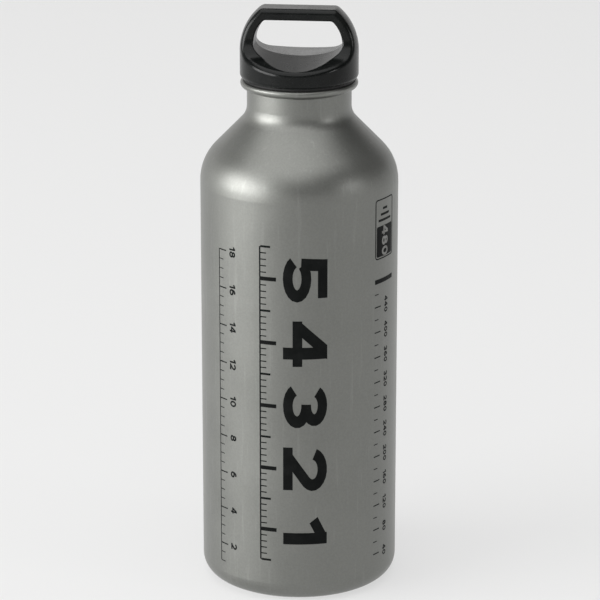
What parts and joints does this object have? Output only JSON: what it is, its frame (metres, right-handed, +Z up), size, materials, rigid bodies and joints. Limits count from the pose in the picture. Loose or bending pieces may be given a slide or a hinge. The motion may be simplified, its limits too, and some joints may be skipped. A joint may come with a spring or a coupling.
{
  "type": "camping fuel bottle",
  "caption": "Slim round-shouldered aluminium fuel bottle with a beaded neck, a screw cap with a carry loop and a rubber sealing ring.",
  "frame": {"origin": "middle of the base, in the plane of the standing ring", "axes": "+Z up along the bottle's axis, +X along the cap's carry loop when the cap is tight"},
  "size_m": [0.074, 0.074, 0.2213],
  "materials": {
    "bottle_metal": "bead-blasted, grey anodised",
    "cap_plastic": "moulded, satin",
    "seal_rubber": "smooth"
  },
  "bodies": {
    "bottle": {"bottle": "bottle_metal"},
    "seal": {"sealing_ring": "seal_rubber"},
    "cap": {"cap": "cap_plastic"}
  },
  "joints": [
    {"name": "cap_lift", "type": "slide", "parent": "bottle", "child": "seal", "axis": [0, 0, 1], "range_m": [0, 0.013]},
    {"name": "cap_turn", "type": "hinge", "parent": "seal", "child": "cap", "pos_m": [0, 0, 0.195], "axis": [0, 0, 1], "range_deg": [0, 1170]}
  ],
  "couplings": [
    {"joint": "cap_lift", "follows": "cap_turn", "m_per_rad": 0.00063661}
  ]
}
